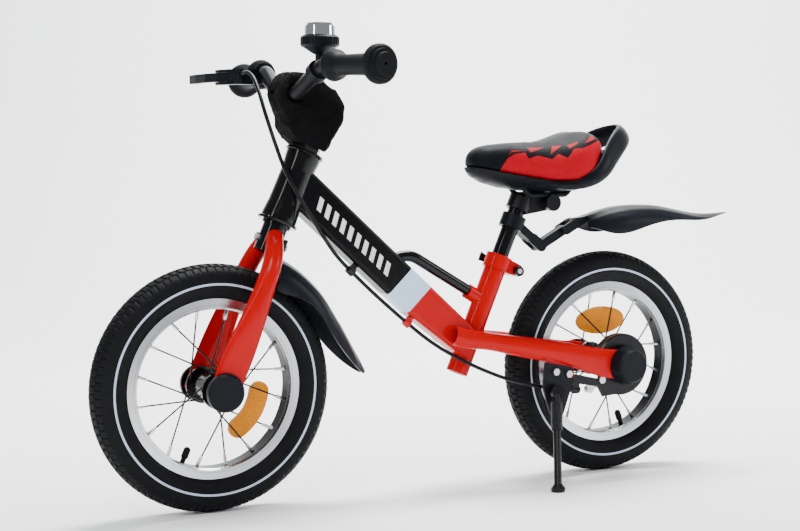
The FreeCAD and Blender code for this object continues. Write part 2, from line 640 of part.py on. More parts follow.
def rear_mudguard_parts():
    """Post clamp, swinging link and tail guard, hinged to each other."""
    along = V(GUARD_JOINT[0] - LINK_JOINT[0], 0, GUARD_JOINT[1] - LINK_JOINT[1]).normalize()
    elbow = (GUARD_JOINT[0] - along.x * 17, GUARD_JOINT[1] - along.z * 17)
    post_joint = (424.0, 334.0)
    reach = V(LINK_JOINT[0] - post_joint[0], 0, LINK_JOINT[1] - post_joint[1]).normalize()
    fork = (LINK_JOINT[0] - reach.x * 17, LINK_JOINT[1] - reach.z * 17)

    band = rod(seat(202), seat(220), 16.0)
    cheeks = [strap(fork, LINK_JOINT, 7, y, y + 3.6) for y in (-9.9, 6.3)]
    pin = cross_rod(*LINK_JOINT, -9.9, 9.9, PIN_RADIUS)
    clamp = band.fuse([strap(post_joint, fork, 5.5, -9.9, 9.9), pin] + cheeks).removeSplitter()
    clamp = clamp.cut(rod(seat(195), seat(228), SEAT_POST_RADIUS + FIT))

    hole = PIN_RADIUS + 0.1
    bar = strap(LINK_JOINT, elbow, 6, -6, 6).cut(cross_rod(*LINK_JOINT, -7, 7, hole))
    side_plates = [strap(elbow, GUARD_JOINT, 6.5, y, y + 3.4) for y in (-10.8, 7.4)]
    elbow_block = cross_rod(*elbow, -10.8, 10.8, 5.5)
    guard_pin = cross_rod(*GUARD_JOINT, -10.8, 10.8, PIN_RADIUS)
    link = bar.fuse([elbow_block, guard_pin] + side_plates).removeSplitter()

    stations = [(530, 346.5, 523, 331, 22), (544, 351, 538, 328, 27), (576, 358, 570, 322, 30),
                (607, 360, 603, 328, 30), (639, 359, 636, 336, 29), (672, 354, 670, 338.5, 27),
                (705, 348, 704, 337.5, 23), (738, 346, 737, 341, 16), (766, 347.5, 766, 345.5, 7)]
    shell = arch_loft(stations, 2.2)
    tongue = slab([(508, 330), (514, 329), (536, 341), (556, 350), (556, 353.4), (524, 344.6),
                   (508, 343)], -7, 7)
    guard = shell.fuse([tongue, cross_rod(*GUARD_JOINT, -7, 7, 7.5)]).removeSplitter()
    guard = guard.cut(cross_rod(*GUARD_JOINT, -12, 12, hole))
    return {"mudguard_clamp": clamp, "mudguard_link": link, "rear_mudguard": guard}


# Seat

# x, half width, edge height and bowed height of each section
COVER_STATIONS = [(351, 8, 412, 423), (356, 17, 411, 431), (369, 26, 408, 438), (395, 31, 403, 441.5),
                  (425, 38, 397.5, 442), (455, 51, 393, 444), (480, 61, 394, 450), (501, 61, 403, 457.5),
                  (517, 53, 416, 458.5), (532, 38, 430, 452), (546, 17, 435, 442)]
BASE_STATIONS = [(350.5, 8, 411.3, 404.5), (357, 21, 410, 398), (372, 29.5, 407, 390.5),
                 (395, 34.5, 402.5, 384.5), (425, 42, 397, 380.5), (455, 54.5, 392.5, 378),
                 (480, 64.5, 393.5, 377), (503, 64, 402.5, 378.5), (521, 56, 416, 384),
                 (537, 45, 429.5, 392), (552, 32, 434.5, 405)]


def bowed_loft(stations, widen, deepen, lift):
    """A form between a flat chord and a bowed side, lofted along X."""
    sections = []
    for x, half, edge_z, bow_z in stations:
        left, right = V(x, -half - widen, edge_z + lift), V(x, half + widen, edge_z + lift)
        bow = Part.Arc(left, V(x, 0, bow_z + deepen), right)
        sections.append(Part.Wire([bow.toShape(), Part.LineSegment(right, left).toShape()]))
    return Part.makeLoft(sections, True, True)




def grab_handle():
    """A broad band that sweeps back and up from the sides of the base, round behind the cover."""
    # centre x, y, z, how far its top edge lies ahead of and above the centre, and its thickness
    stations = [(446, -42, 391, 0.2, 2.2, 4), (468, -53, 388.5, 0.5, 6, 7.5),
                (489, -58.5, 392, 1, 8.5, 9), (512, -59, 401.5, 4, 10, 10),
                (535, -50.5, 421.5, 8, 11.5, 10.5), (561, -34, 443.5, 9.5, 12, 11),
                (581, -16, 455.5, 9, 10.5, 11), (588, 0, 458.5, 8.5, 9.5, 11),
                (581, 16, 455.5, 9, 10.5, 11)]
    points = [V(x, y, z) for x, y, z, _, _, _ in stations]
    wires = []
    for index, (point, station) in enumerate(zip(points, stations)):
        along = points[min(index + 1, len(points) - 1)] - points[max(index - 1, 0)]
        up = V(-station[3], 0, station[4])
        through = along.cross(up).normalize() * (station[5] / 2)
        wires.append(oval(point, up, through))
    left_space = Part.makeBox(200, 100, 200, V(430, -100, 350))
    left = Part.makeLoft(wires, True, False).common(left_space)
    return left.fuse(mirrored(left)).removeSplitter()


def saddle():
    """The padded cover, and the moulded base with its rails and grab handle."""
    cover = bowed_loft(COVER_STATIONS, 0, 0, 0)
    hollow = bowed_loft(BASE_STATIONS[1:-1], -3, 3, 1)
    handle = grab_handle()
    rail_routes = [[V(418, y, 391), V(433, y, 375), V(489, y, 375), V(504, y, 391)] for y in (-17, 17)]
    rails = [swept(bent_path(route, [9, 9]), 3.6) for route in rail_routes]
    base = bowed_loft(BASE_STATIONS, 0, 0, 0).fuse(handle).cut(hollow).fuse(rails)
    base = base.cut(bowed_loft(COVER_STATIONS, 0.4, 0.4, -0.4))
    return {"saddle_cover": cover, "saddle_base": base}


def seat_post_parts():
    post_top = 246.0
    post = ring(seat(62), seat(post_top), SEAT_POST_RADIUS, SEAT_POST_RADIUS - TUBE_WALL)
    band = rod(seat(228), seat(post_top), 15.4)
    bolt_centre = (467.0, 364.5)
    lug = slab([(430, 349), (462, 354), (470, 370), (440, 372)], -12, 12)
    discs = [cross_rod(*bolt_centre, *span, 11) for span in ((-24, -12), (12, 24))]
    barrel = cross_rod(*bolt_centre, -24, 24, 8.5)
    rails = [rod(V(400, y, 375), V(520, y, 375), 3.75) for y in (-17, 17)]
    bore = rod(seat(220), seat(post_top), SEAT_POST_RADIUS + FIT)
    clamp = band.fuse([lug, barrel] + discs).removeSplitter().cut(bore).cut(Part.makeCompound(rails))
    return {"seat_post": post, "saddle_clamp": clamp}


CLAMP_BOLT = seat(153, 0, -27)
LEVER_SIDE = 17.0


def seat_clamp_parts():
    """The split collar with its skewer, nut and quick-release lever."""
    low, high = 144.0, 163.0
    collar = rod(seat(low), seat(high), 17.4)
    ear_corners = [seat(low, 0, -10), seat(high, 0, -10), seat(high - 1, 0, -31), seat(low + 3, 0, -33)]
    ears = slab([(point.x, point.z) for point in ear_corners], -9.5, 9.5)
    gap_corners = [seat(up, 0, ahead) for up, ahead in zip((low - 5, high + 5, high + 5, low - 5),
                                                           (-8, -8, -40, -40))]
    gap = slab([(point.x, point.z) for point in gap_corners], -1.5, 1.5)
    bolt_hole = cross_rod(CLAMP_BOLT.x, CLAMP_BOLT.z, -12, 12, 2.7)
    bore = rod(seat(low - 1), seat(high + 1), SEAT_TUBE_RADIUS + FIT)
    body = collar.fuse(ears).removeSplitter().cut(bore).cut(gap).cut(bolt_hole)

    skewer = cross_rod(CLAMP_BOLT.x, CLAMP_BOLT.z, -16.5, LEVER_SIDE, 2.5)
    nut = cross_rod(CLAMP_BOLT.x, CLAMP_BOLT.z, -17, -9.6, 6.4)
    pivot = CLAMP_BOLT + V(0, LEVER_SIDE, 0)
    trunnion = rod(pivot - SEAT_UP * 6.5, pivot + SEAT_UP * 6.5, 2.6)
    bolt = skewer.fuse([nut, trunnion]).removeSplitter()

    cam = rod(pivot - SEAT_UP * 6, pivot + SEAT_UP * 6, 6.5)
    grip_start = pivot + SEAT_AHEAD * 5 + V(0, 2.8, 0)
    grip_end = pivot + SEAT_AHEAD * 42 + SEAT_UP * 3 + V(0, 6, 0)
    blade_wires = []
    for share, high_half, thin_half in ((0, 5.5, 2.6), (0.5, 4.2, 2.2), (1, 6.2, 1.8)):
        point = grip_start + (grip_end - grip_start) * share
        blade_wires.append(oval(point, SEAT_UP * high_half, V(0, thin_half, 0)))
    blade = Part.makeLoft(blade_wires, True, False)
    eye = rod(pivot - SEAT_UP * 9, pivot + SEAT_UP * 9, 2.6 + FIT)
    slot = rod(pivot - SEAT_UP * 2.9, pivot + SEAT_UP * 2.9, 7.2)
    lever = cam.fuse(blade).removeSplitter().cut(eye).cut(slot)
    return {"seat_clamp": body, "seat_clamp_bolt": bolt, "quick_release_lever": lever}


# Axles, caps and brake

def axle_cap(inner_face, outer_face, base_radius, face_radius):
    """A plastic cap that hides an axle nut, open on its inner side."""
    wall = 1.6
    profile = [(inner_face, base_radius - wall), (inner_face, base_radius), (outer_face - 3, face_radius),
               (outer_face, face_radius - 2.5), (outer_face, 0), (outer_face - wall, 0),
               (outer_face - wall, face_radius - 4), (outer_face - 4, face_radius - wall)]
    return turned(profile, V(0, 0, 0), V(0, -1, 0))


def nut(start, end, across_flats):
    body = hex_bar(V(0, start, 0), V(0, end, 0), across_flats)
    return body.cut(rod(V(0, start - 1, 0), V(0, end + 1, 0), AXLE_RADIUS + FIT))


def washer(start, end, radius):
    return ring(V(0, start, 0), V(0, end, 0), radius, AXLE_RADIUS + FIT)


def front_axle_parts():
    cones = washer(-LEG_INNER, -35.5, 8.5)
    outer_nut = nut(-LEG_OUTER - 6, -LEG_OUTER, 15)
    cap = axle_cap(LEG_OUTER + 0.2, 54.0, 23, 22.6)
    pieces = {"front_axle": rod(V(0, -51.5, 0), V(0, 51.5, 0), AXLE_RADIUS),
              "front_axle_nuts": both_sides(Part.makeCompound([cones, outer_nut])),
              "front_axle_caps": both_sides(cap)}
    return {name: shape.translated(FRONT_HUB) for name, shape in pieces.items()}


BRAKE_PIVOT = (526.0, 130.5)
BRAKE_ARM_END = (510.5, 118.5)
BRAKE_ARM_SIDE = -46.5


def rear_axle_parts():
    left_nuts = [washer(-STAY_INNER, -50.6, 10), nut(-STAY_OUTER - 7, -STAY_OUTER, 17)]
    right_nuts = [washer(35.5, STAY_INNER, 9), nut(STAY_OUTER, STAY_OUTER + 6, 17)]
    left_cap = axle_cap(STAY_OUTER + 0.4, 77, 26, 22)
    right_cap = mirrored(axle_cap(STAY_OUTER + 0.4, 69, 23, 22.4))
    pieces = {"rear_axle": rod(V(0, -69, 0), V(0, 67, 0), AXLE_RADIUS),
              "rear_axle_nuts": Part.makeCompound(left_nuts + right_nuts),
              "rear_axle_caps": Part.makeCompound([left_cap, right_cap])}
    return {name: shape.translated(REAR_HUB) for name, shape in pieces.items()}


def band_brake_parts():
    """Drum on the hub, lined band round it, cover with its torque arm, and the pull arm."""
    cover_radius, face, skirt, wall = 41.0, -50.4, -37.5, 1.6
    pan = turned([(face, AXLE_RADIUS + 0.3), (face, cover_radius - 2), (face + 2, cover_radius),
                  (skirt, cover_radius), (skirt, cover_radius - wall),
                  (face + wall + 1, cover_radius - wall), (face + wall, cover_radius - 3),
                  (face + wall, AXLE_RADIUS + 0.3)], REAR_HUB, V(0, 1, 0))
    torque_arm = slab([(553, 110), (548, 126), (480, 142), (474, 138), (476, 130), (520, 122),
                       (528, 108)], face, face + 2.4)
    axle_clear = cross_rod(WHEELBASE, TYRE_RADIUS, -60, -30, AXLE_RADIUS + 0.3)
    stop_post = slab([(480, 140), (492, 138), (491, 115), (481, 115)], face, face + 2.4)
    cable_end = CABLE_ROUTE[-1]
    along = (cable_end - CABLE_ROUTE[-2]).normalize()
    stop = rod(cable_end - along * 5, cable_end + along * 9, 4.4)
    stop_bore = rod(cable_end - along * 6, cable_end, CABLE_RADIUS + 0.2)
    inner_hole = rod(cable_end - along, cable_end + along * 10, 1.3)
    arm_window = slab([(500, 104), (544, 104), (544, 142), (500, 142)], face + 2.6, skirt + 1)
    pivot_hole = cross_rod(*BRAKE_PIVOT, -55, -40, PIN_RADIUS + 0.1)
    cover = pan.cut(arm_window).fuse([torque_arm, stop_post, stop]).removeSplitter()
    cover = cover.cut(axle_clear).cut(pivot_hole).cut(stop_bore).cut(inner_hole)

    drum = turned([(-47, 28.4), (-47, 33), (-32, 33), (-32, 15), (-29.6, 15), (-29.6, 16), (-34.6, 16),
                   (-34.6, 28.4)], REAR_HUB, V(0, 1, 0))
    band = ring(V(WHEELBASE, -46, TYRE_RADIUS), V(WHEELBASE, -38, TYRE_RADIUS), 35.5, 33.5)
    band = band.cut(slab([(505, 100), (550, 100), (550, 135), (505, 150)], -48, -36))

    plate_low, plate_high = BRAKE_ARM_SIDE - 1.2, BRAKE_ARM_SIDE + 1.8
    arm = strap(BRAKE_PIVOT, BRAKE_ARM_END, 4.6, plate_low, plate_high)
    pin = cross_rod(*BRAKE_PIVOT, -53.5, plate_high, PIN_RADIUS)
    head = cross_rod(*BRAKE_PIVOT, -53.5, face - 0.2, 4.6)
    clamp_stud = cross_rod(*BRAKE_ARM_END, plate_low, -40, 5.2)
    cable_hole = rod(V(500, BRAKE_ARM_SIDE, 119.2), V(520, BRAKE_ARM_SIDE, 118.6), 1.3)
    pull_arm = arm.fuse([pin, head, clamp_stud]).removeSplitter().cut(cable_hole)
    return {"brake_cover": cover, "brake_drum": drum, "brake_band": band, "brake_arm": pull_arm}


CABLE_ROUTE = [V(76, 91, 528), V(77, 75, 530.5), V(78, 56, 523), V(77.5, 36, 504), V(76.5, 14, 477),
               V(79, -6, 446), V(86, -18.5, 413), V(98.5, -26.5, 383), V(117, -26, 356),
               V(137, -18.5, 329.5), V(162, -7, 301), V(208, -3, 259), V(250, -4, 223), V(292, -14, 187),
               V(340, -23, 159.5), V(390, -32, 138), V(435, -43.5, 126), V(484, BRAKE_ARM_SIDE, 120.5)]
CABLE_CLIPS = (0.42, 0.22)    # share of the run from route points 10 and 12


def fair_radii(points):
    """The largest even bend at each corner of a cable's route."""
    radii = []
    for before, corner, after in zip(points, points[1:], points[2:]):
        first, second = corner - before, after - corner
        half_turn = first.getAngle(second) / 2
        radii.append(0.45 * min(first.Length, second.Length) / math.tan(half_turn))
    return radii


def brake_cable():
    """The housing, from the lever's adjuster to the stop at the brake."""
    radii = fair_radii(CABLE_ROUTE)
    path = bent_path(CABLE_ROUTE, radii)
    cable = swept(path, CABLE_RADIUS)
    print("cable length %.1f, tightest bend %.1f" % (path.Length, min(radii)))
    print("cable bend radii", [round(radius) for radius in radii])
    print("cable volume ratio %.4f" % (cable.Volume / (math.pi * CABLE_RADIUS ** 2 * path.Length)))
    return cable


def cable_clips():
    """Two clips that hold the cable under the down tube."""
    tube_form = down_tube_form()
    clips = []
    for start, share in zip((10, 12), CABLE_CLIPS):
        first, second = CABLE_ROUTE[start], CABLE_ROUTE[start + 1]
        centre = first + (second - first) * share
        along = (second - first).normalize() * 4.5
        block = rod(centre - along, centre + along, 5.6)
        foot = V(along.z, 0, -along.x).normalize() * -1
        pad = rod(centre, centre + foot * 12, 4.0)
        hole = rod(centre - along * 2, centre + along * 2, CABLE_RADIUS + 0.6)
        clips.append(block.fuse(pad).removeSplitter().cut(hole).cut(tube_form))
    return Part.makeCompound(clips)


# Kickstand

KICKSTAND_BOLTS = [(449.0, 147.0), (469.0, 143.0)]
STAND_PIVOT = V(447, -63.5, 121)
STAND_AXIS = V(0, -0.961, 0.276).normalize()
STAND_FOOT = V(411, -125, 0)


def kickstand_parts():
    """Housing plate, its two bolts, and the folding leg with its coil spring."""
    outline = [(434, 160), (476, 151), (477, 134), (462, 92), (456, 84), (449, 84), (440, 97), (431, 126)]
    plate = slab(outline, -58.4, -54.6)
    pivot_pin = rod(STAND_PIVOT - STAND_AXIS * 8, STAND_PIVOT + STAND_AXIS * 5.5, 3.4)
    holes = [cross_rod(x, z, -65, -45, 3.1) for x, z in KICKSTAND_BOLTS]
    housing = plate.fuse(pivot_pin).removeSplitter().cut(Part.makeCompound(holes))

    bolts = []
    for x, z in KICKSTAND_BOLTS:
        head = hex_bar(V(x, -61.6, z), V(x, -58.5, z), 8.5)
        bolts.append(head.fuse(cross_rod(x, z, -61, -49.5, 3.0)).removeSplitter())

    foot = V(STAND_FOOT.x, STAND_FOOT.y, (FLOOR_LEVEL - STAND_FOOT.y * FLOOR_UP.y) / FLOOR_UP.z)
    along = (foot + FLOOR_UP * 5 - STAND_PIVOT).normalize()
    knuckle = rod(STAND_PIVOT - STAND_AXIS * 2, STAND_PIVOT + STAND_AXIS * 5, 9)
    leg = rod(STAND_PIVOT, foot + FLOOR_UP * 5, 4.9)
    pad = turned([(0, 0), (0, 8), (2, 9), (5, 9), (8, 6.5), (10, 5), (10, 0)], foot, FLOOR_UP)
    eye = rod(STAND_PIVOT - STAND_AXIS * 12, STAND_PIVOT + STAND_AXIS * 12, 3.4 + FIT)
    leg = leg.fuse([knuckle, pad]).removeSplitter().cut(eye)

    turns, pitch, inner, outer = 13, 3.0, 5.2, 7.6
    start = 14.0
    profile = [(start, inner)]
    for turn in range(turns):
        profile += [(start + turn * pitch, outer - 1), (start + (turn + 0.5) * pitch, outer)]
    profile += [(start + turns * pitch, outer - 1), (start + turns * pitch, inner)]
    spring = turned(profile, STAND_PIVOT, along)
    return {"kickstand_housing": housing, "kickstand_bolts": Part.makeCompound(bolts),
            "kickstand_leg": leg, "kickstand_spring": spring}


# Assembly

def all_parts():
    parts = {}
    parts.update(frame_tubes())
    parts.update(headset())
    parts.update({"fork_crown": fork_crown(), "fork_legs": fork_legs(), "stem": stem(),
                  "handlebar": handlebar(), "handlebar_pad": handlebar_pad(), "handlebar_grips": grips(),
                  "front_mudguard": front_mudguard(), "brake_cable": brake_cable(),
                  "cable_clips": cable_clips()})
    for group in (bell, brake_lever_parts, rear_mudguard_parts, saddle, seat_post_parts, seat_clamp_parts,
                  front_axle_parts, rear_axle_parts, band_brake_parts, kickstand_parts):
        parts.update(group())
    parts.update(wheel("front", FRONT_HUB, -113.5, kidney_reflector(), (26.5, 29.5), 35.0, 16.5))
    parts.update(wheel("rear", REAR_HUB, -69.5, oval_reflector(), (25.0, 28.0), 35.0, 16.5))
    return parts


def leaned(shape):
    return shape.rotated(V(0, 0, 0), V(1, 0, 0), LEAN_DEG)


def floor_centre(shapes):
    """The middle of the footprint at the lowest point, which becomes the origin."""
    box = FreeCAD.BoundBox()
    for shape in shapes:
        box.add(shape.optimalBoundingBox(False, False))
    return V((box.XMin + box.XMax) / 2, (box.YMin + box.YMax) / 2, box.ZMin)


PARTS = {name: leaned(shape) for name, shape in all_parts().items()}
ORIGIN = floor_centre(PARTS.values())

os.makedirs("parts", exist_ok=True)
for name, shape in PARTS.items():
    shape.translated(-ORIGIN).exportStep(f"parts/{name}.step")
print(len(PARTS), "nodes, origin shift", ORIGIN)
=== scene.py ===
import json
import math

import bmesh
import bpy
from mathutils import Matrix, Vector, noise


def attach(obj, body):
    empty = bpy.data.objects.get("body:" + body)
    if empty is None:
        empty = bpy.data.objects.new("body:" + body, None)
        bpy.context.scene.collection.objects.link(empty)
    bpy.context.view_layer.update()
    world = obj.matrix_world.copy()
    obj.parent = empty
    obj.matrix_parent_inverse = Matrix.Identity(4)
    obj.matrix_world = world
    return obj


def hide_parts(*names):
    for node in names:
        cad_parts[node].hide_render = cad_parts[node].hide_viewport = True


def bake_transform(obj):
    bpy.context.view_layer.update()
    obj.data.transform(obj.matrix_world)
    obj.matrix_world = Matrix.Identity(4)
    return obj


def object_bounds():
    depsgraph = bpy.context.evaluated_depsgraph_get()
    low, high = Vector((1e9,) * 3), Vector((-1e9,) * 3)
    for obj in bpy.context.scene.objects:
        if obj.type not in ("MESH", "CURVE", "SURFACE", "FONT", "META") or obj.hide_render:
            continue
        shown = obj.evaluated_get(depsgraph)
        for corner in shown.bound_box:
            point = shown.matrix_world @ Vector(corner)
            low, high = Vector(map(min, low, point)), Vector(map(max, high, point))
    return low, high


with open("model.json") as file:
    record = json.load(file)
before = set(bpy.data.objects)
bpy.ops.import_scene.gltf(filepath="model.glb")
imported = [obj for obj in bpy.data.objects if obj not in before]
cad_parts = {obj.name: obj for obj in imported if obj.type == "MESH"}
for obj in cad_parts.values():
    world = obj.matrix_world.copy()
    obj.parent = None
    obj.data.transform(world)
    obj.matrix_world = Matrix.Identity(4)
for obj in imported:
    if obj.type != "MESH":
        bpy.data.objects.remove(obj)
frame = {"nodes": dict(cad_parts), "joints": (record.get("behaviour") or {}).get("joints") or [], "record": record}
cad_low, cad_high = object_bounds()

NODES = frame["nodes"]
BODIES = frame["record"]["behaviour"]["bodies"]
BODY_OF = {node: body for body, members in BODIES.items() for node in members}
JOINTS = {joint["name"]: joint for joint in frame["joints"]}

# The upright bike's own axes, found from the two wheels: x rearward, y to the right, z up
HUB_HEIGHT = 0.149
FRONT_HUB = Vector(JOINTS["front_wheel_spin"]["pos_m"])
REAR_HUB = Vector(JOINTS["rear_wheel_spin"]["pos_m"])
ACROSS = Vector(JOINTS["front_wheel_spin"]["axis"]).normalized()
BACKWARD = (REAR_HUB - FRONT_HUB).normalized()
UPWARD = BACKWARD.cross(ACROSS)
TURN = Matrix((BACKWARD, ACROSS, UPWARD)).transposed()
BIKE = Matrix.Translation(FRONT_HUB - TURN @ Vector((0, 0, HUB_HEIGHT))) @ TURN.to_4x4()


def at(x, y, z):
    """A point given on the upright bike in millimetres."""
    return BIKE @ Vector((x / 1000, y / 1000, z / 1000))


# Materials

def link(tree, kind, inputs=None, **settings):
    """A shader node whose inputs are values or other nodes' sockets."""
    made = tree.nodes.new(kind)
    for key, value in settings.items():
        setattr(made, key, value)
    for key, value in (inputs or {}).items():
        if isinstance(value, bpy.types.NodeSocket):
            tree.links.new(value, made.inputs[key])
        else:
            made.inputs[key].default_value = value
    return made


def maths(tree, operation, first, second=0.0):
    """The socket of one maths step on two values or sockets."""
    return link(tree, "ShaderNodeMath", {0: first, 1: second}, operation=operation).outputs[0]


def place(tree):
    """Where a shaded point lies on the part at rest."""
    return link(tree, "ShaderNodeTexCoord").outputs["Object"]


def along(tree, direction, origin):
    """Distance of a shaded point from origin along a direction of the upright bike."""
    way = TURN @ Vector(direction).normalized()
    dot = link(tree, "ShaderNodeVectorMath", {0: place(tree), 1: way}, operation="DOT_PRODUCT")
    return maths(tree, "SUBTRACT", dot.outputs["Value"], way.dot(origin))


def reach(tree, origin):
    """Distance of a shaded point from the origin given."""
    gap = link(tree, "ShaderNodeVectorMath", {0: place(tree), 1: origin}, operation="DISTANCE")
    return gap.outputs["Value"]


def mottled(tree, colour, spread, scale):
    """A colour that varies a little over the surface."""
    cloud = link(tree, "ShaderNodeTexNoise",
                 {"Vector": place(tree), "Scale": scale, "Detail": 6.0, "Roughness": 0.6})
    dark = [channel * (1 - spread) for channel in colour] + [1]
    light = [min(1, channel * (1 + spread)) for channel in colour] + [1]
    return blend_colours(tree, cloud.outputs["Fac"], dark, light)


def blend_colours(tree, factor, first, second):
    """The first colour where the factor is 0 and the second where it is 1."""
    mix = link(tree, "ShaderNodeMix", {0: factor, 6: first, 7: second}, data_type="RGBA")
    return mix.outputs[2]


SMUDGE_SCALE = 45.0
LOWEST_ROUGHNESS = 0.02
COAT_ROUGHNESS = 0.06
BUMP_DISTANCE = 0.001


def finish_surface(name, paint, rough, metal=0.0, coat=0.0, wear=0.06, grain=900.0, bump=0.05,
                   relief=None, gloss=0.5):
    """A material; paint takes the tree and gives its colour socket, and metal may be a mask maker."""
    material = bpy.data.materials.new(name)
    material.use_nodes = True
    tree = material.node_tree
    shader = tree.nodes["Principled BSDF"]
    tree.links.new(paint(tree), shader.inputs["Base Color"])
    smudge = link(tree, "ShaderNodeTexNoise", {"Vector": place(tree), "Scale": SMUDGE_SCALE, "Detail": 5.0})
    uneven = link(tree, "ShaderNodeMapRange",
                  {"Value": smudge.outputs["Fac"], "To Min": max(LOWEST_ROUGHNESS, rough - wear),
                   "To Max": min(1.0, rough + wear)})
    tree.links.new(uneven.outputs[0], shader.inputs["Roughness"])
    if callable(metal):
        tree.links.new(metal(tree), shader.inputs["Metallic"])
    else:
        shader.inputs["Metallic"].default_value = metal
    shader.inputs["Specular IOR Level"].default_value = gloss
    shader.inputs["Coat Weight"].default_value = coat
    shader.inputs["Coat Roughness"].default_value = COAT_ROUGHNESS
    fine = link(tree, "ShaderNodeTexNoise", {"Vector": place(tree), "Scale": grain, "Detail": 3.0})
    height = fine.outputs["Fac"]
    if relief:
        height = maths(tree, "ADD", height, relief(tree))
    dents = link(tree, "ShaderNodeBump", {"Height": height, "Strength": bump, "Distance": BUMP_DISTANCE})
    tree.links.new(dents.outputs[0], shader.inputs["Normal"])
    return material


def plain(name, colour, rough, spread=0.12, scale=60.0, **more):
    """A material of one colour, mottled by spread at the scale given."""
    return finish_surface(name, lambda tree: mottled(tree, colour, spread, scale), rough, **more)


RED = (0.44, 0.0, 0.003)
BLACK = (0.0035, 0.0035, 0.004)
SATIN_BLACK = (0.004, 0.004, 0.005)
WHITE = (0.8, 0.8, 0.8)
PALE_BLUE = (0.55, 0.70, 0.92)
CHARCOAL = (0.0035, 0.0045, 0.007)
SILVER = (0.78, 0.79, 0.81)
ZINC = (0.55, 0.55, 0.54)
# Directions on the upright bike: up the steering axis, along the down tube and out of its top face,
# and along the bike across its pale band
STEER_UP = Vector((0.4003, 0, 0.9164))
TUBE_WAY = Vector((0.7466, 0, -0.6652))
TUBE_RISE = Vector((0.6652, 0, 0.7466))
BAND_WAY = Vector((0.697, 0, -0.717))


def over(tree, value, limit, soft=0.0002):
    """0 below the limit and 1 above it."""
    step = link(tree, "ShaderNodeMapRange",
                {"Value": value, "From Min": limit - soft, "From Max": limit + soft})
    return step.outputs[0]


def inverse(tree, mask):
    """1 where the mask is 0, and 0 where it is 1."""
    return maths(tree, "SUBTRACT", 1.0, mask)


def both(tree, first, second):
    """1 where both masks are 1."""
    return maths(tree, "MULTIPLY", first, second)


def within(tree, value, low, high, soft=0.0002):
    """1 between the two limits and 0 outside them."""
    return both(tree, over(tree, value, low, soft), inverse(tree, over(tree, value, high, soft)))


# The down tube's pale band along the bike, and the row of slanted bars along and up the tube, in metres
BAND_START, BAND_END = -0.0217, 0.015
BAR_PITCH, BAR_SLANT = 0.0135, 0.45
BAR_FOOT, BAR_HEAD = -0.031, -0.016
BARS_START, BARS_END = 0.012, 0.147
TUBE_HALF_WIDTH = 0.0152
# A bar's start and end within its pitch, and how soft its edges are, as shares of the pitch
BAR_FROM, BAR_TO, BAR_BLUR = 0.1, 0.62, 0.02


def down_tube_paint(tree):
    """Black front with slanted white bars, a pale band, then red."""
    tube_top = at(130, 0, 403)  # a point on the tube's top face
    zone = along(tree, BAND_WAY, at(0, 0, 0))
    rise = along(tree, TUBE_RISE, tube_top)
    side = maths(tree, "ABSOLUTE", along(tree, (0, 1, 0), tube_top))
    slant = maths(tree, "ADD", along(tree, TUBE_WAY, tube_top), maths(tree, "MULTIPLY", rise, BAR_SLANT))
    repeat = maths(tree, "FRACT", maths(tree, "DIVIDE", slant, BAR_PITCH))
    bars = both(tree, within(tree, repeat, BAR_FROM, BAR_TO, BAR_BLUR),
                within(tree, rise, BAR_FOOT, BAR_HEAD))
    bars = both(tree, bars, within(tree, slant, BARS_START, BARS_END))
    bars = both(tree, bars, over(tree, side, TUBE_HALF_WIDTH))
    base = blend_colours(tree, bars, mottled(tree, BLACK, 0.2, 50), mottled(tree, WHITE, 0.05, 50))
    base = blend_colours(tree, over(tree, zone, BAND_START), base, mottled(tree, PALE_BLUE, 0.05, 50))
    return blend_colours(tree, over(tree, zone, BAND_END), base, mottled(tree, RED, 0.08, 50))


# Half widths of a rim's well and grooves, and radii of its grooves and spoke nipples, in metres
RIM_WELL_HALF, RIM_GROOVE_HALF = 0.0094, 0.0002
RIM_GROOVES = (0.0980, 0.1010)
NIPPLE_START = 0.0826
# Colours of a rim's flanges under a painted sheen, shaded and lit, the painted shade in its grooves, its well, and
# turning rings per metre
RIM_SHEEN_PAINTED_SHADE, RIM_SHEEN_PAINTED_HIGHLIGHT = (0.30, 0.31, 0.33), (0.62, 0.63, 0.66)
RIM_GROOVE_PAINTED_SHADE, RIM_WELL_BLACK = (0.12, 0.12, 0.13), (0.002, 0.002, 0.0025)
RING_FREQUENCY = 4000.0


